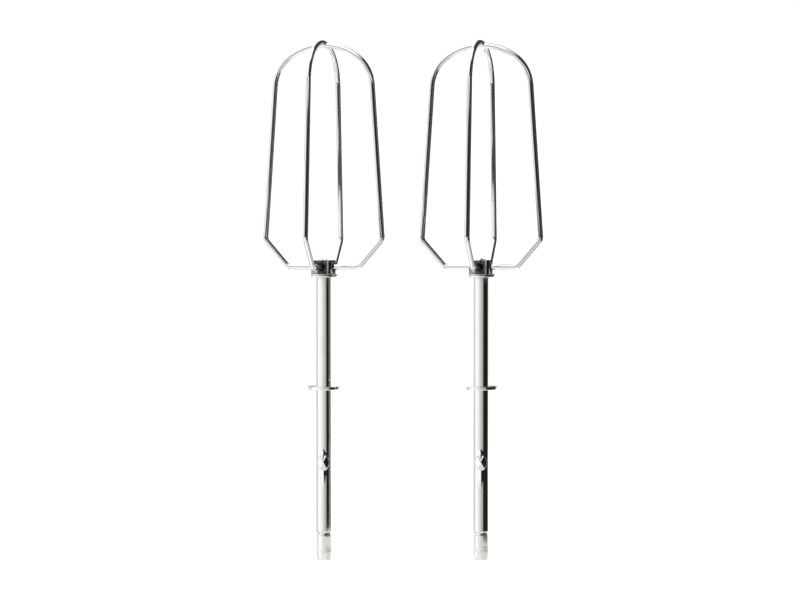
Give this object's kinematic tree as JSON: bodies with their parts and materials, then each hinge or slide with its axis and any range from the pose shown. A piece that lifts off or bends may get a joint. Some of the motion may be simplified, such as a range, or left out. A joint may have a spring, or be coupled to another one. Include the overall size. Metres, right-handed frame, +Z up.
{
  "type": "hand mixer beaters",
  "caption": "Wire hand mixer beaters for whipping and mixing: round drive shafts with pressed ears and stop collars, square hubs, and crossed loops of bent round wire.",
  "frame": {"origin": "midway between the two shaft axes, level with the lowest point of the drive tips", "axes": "+Z up along the shafts, from the drive tips to the cages; +X from the left beater to the right one; -Y towards the viewer"},
  "size_m": [0.105, 0.046, 0.1948],
  "materials": {
    "shaft_steel": "bright polished rod with fine drawn lines",
    "collar_steel": "bright stamped washer",
    "hub_washer_steel": "bright stamped washer",
    "hub_block_steel": "dark satin pressed metal with bright worn edges",
    "wire_steel": "bright polished round wire"
  },
  "bodies": {
    "left_beater": {"left_drive_shaft": "shaft_steel", "left_stop_collar": "collar_steel", "left_hub_washer": "hub_washer_steel", "left_hub_block": "hub_block_steel", "left_wide_loop": "wire_steel", "left_cross_loop": "wire_steel"},
    "right_beater": {"right_drive_shaft": "shaft_steel", "right_stop_collar": "collar_steel", "right_hub_washer": "hub_washer_steel", "right_hub_block": "hub_block_steel", "right_wide_loop": "wire_steel", "right_cross_loop": "wire_steel"}
  },
  "joints": [
    {"name": "right_beater_spin", "type": "hinge", "parent": "left_beater", "child": "right_beater", "pos_m": [0.0295, 0, 0], "axis": [0, 0, 1], "continuous": true}
  ]
}
